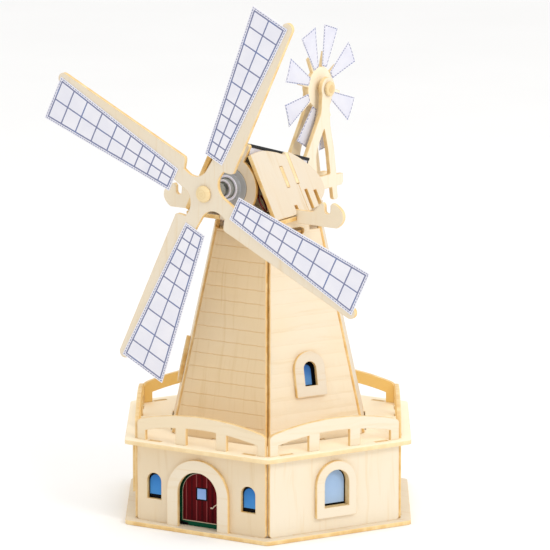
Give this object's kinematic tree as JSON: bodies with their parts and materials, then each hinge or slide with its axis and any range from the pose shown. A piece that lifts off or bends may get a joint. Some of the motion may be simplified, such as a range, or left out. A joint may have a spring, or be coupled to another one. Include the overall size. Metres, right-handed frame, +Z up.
{
  "type": "wooden windmill jigsaw model",
  "caption": "Laser-cut plywood windmill model: hexagonal house, railed gallery, tapered tower, and a turning cap with card sails, fantail, motor and solar panel.",
  "frame": {"origin": "centre of the hexagonal base plate's underside, on the surface that the model stands on", "axes": "+Z up the tower, -Y towards the door and the sails, +X to the right of someone who faces the door"},
  "size_m": [0.2787, 0.21, 0.3792],
  "materials": {
    "plywood": "bare laser-cut plywood with scorched golden edges",
    "dowel": "bare turned wood",
    "sail_card": "smooth white card with printed blue-grey lines",
    "printed_card": "colour-printed card",
    "solar_cell": "dark glossy cell in a black surround",
    "motor_metal": "satin turned metal",
    "wire_red": "plain insulated wire"
  },
  "bodies": {
    "tower": {"base_plate": "plywood", "gallery_deck": "plywood", "house_wall_front_left": "plywood", "house_wall_front": "plywood", "house_wall_front_right": "plywood", "house_wall_rear_right": "plywood", "house_wall_rear": "plywood", "house_wall_rear_left": "plywood", "door_arch": "plywood", "house_window_frame_left": "plywood", "house_window_frame_right": "plywood", "house_print_strip": "printed_card", "railing_front_left": "plywood", "railing_front": "plywood", "railing_front_right": "plywood", "railing_rear_right": "plywood", "railing_rear": "plywood", "railing_rear_left": "plywood", "tower_wall_front_left": "plywood", "tower_wall_front": "plywood", "tower_wall_front_right": "plywood", "tower_wall_rear_right": "plywood", "tower_wall_rear": "plywood", "tower_wall_rear_left": "plywood", "tower_window_frame_left": "plywood", "tower_window_frame_right": "plywood", "tower_window_print_left": "printed_card", "tower_window_print_right": "printed_card", "tower_former": "plywood"},
    "cap": {"cap_floor": "plywood", "roof_board_front_right": "plywood", "roof_board_front_left": "plywood", "roof_board_rear_right": "plywood", "roof_board_rear_left": "plywood", "hooked_beam": "plywood", "roof_rib": "plywood", "motor_plate": "plywood", "solar_panel": "solar_cell", "panel_tray": "sail_card", "motor": "motor_metal", "motor_lead": "wire_red", "fan_frame_right": "plywood", "fan_frame_left": "plywood"},
    "sails": {"sail_cross": "plywood", "sail_sheet_1": "sail_card", "sail_sheet_2": "sail_card", "sail_sheet_3": "sail_card", "sail_sheet_4": "sail_card", "sail_shaft": "dowel"},
    "fantail": {"fan_wheel": "plywood", "fan_blade_1": "sail_card", "fan_blade_2": "sail_card", "fan_blade_3": "sail_card", "fan_blade_4": "sail_card", "fan_blade_5": "sail_card", "fan_blade_6": "sail_card", "fan_blade_7": "sail_card", "fan_blade_8": "sail_card", "fan_axle": "dowel"}
  },
  "joints": [
    {"name": "cap_swivel", "type": "hinge", "parent": "tower", "child": "cap", "pos_m": [0, 0, 0.2174], "axis": [0, 0, 1], "continuous": true},
    {"name": "sail_spin", "type": "hinge", "parent": "cap", "child": "sails", "pos_m": [-0.005, -0.06982, 0.242], "axis": [-0.0715, -0.9974, 0], "continuous": true},
    {"name": "fan_spin", "type": "hinge", "parent": "cap", "child": "fantail", "pos_m": [0.00458, 0.06384, 0.2976], "axis": [0.9974, -0.0715, 0], "continuous": true}
  ]
}
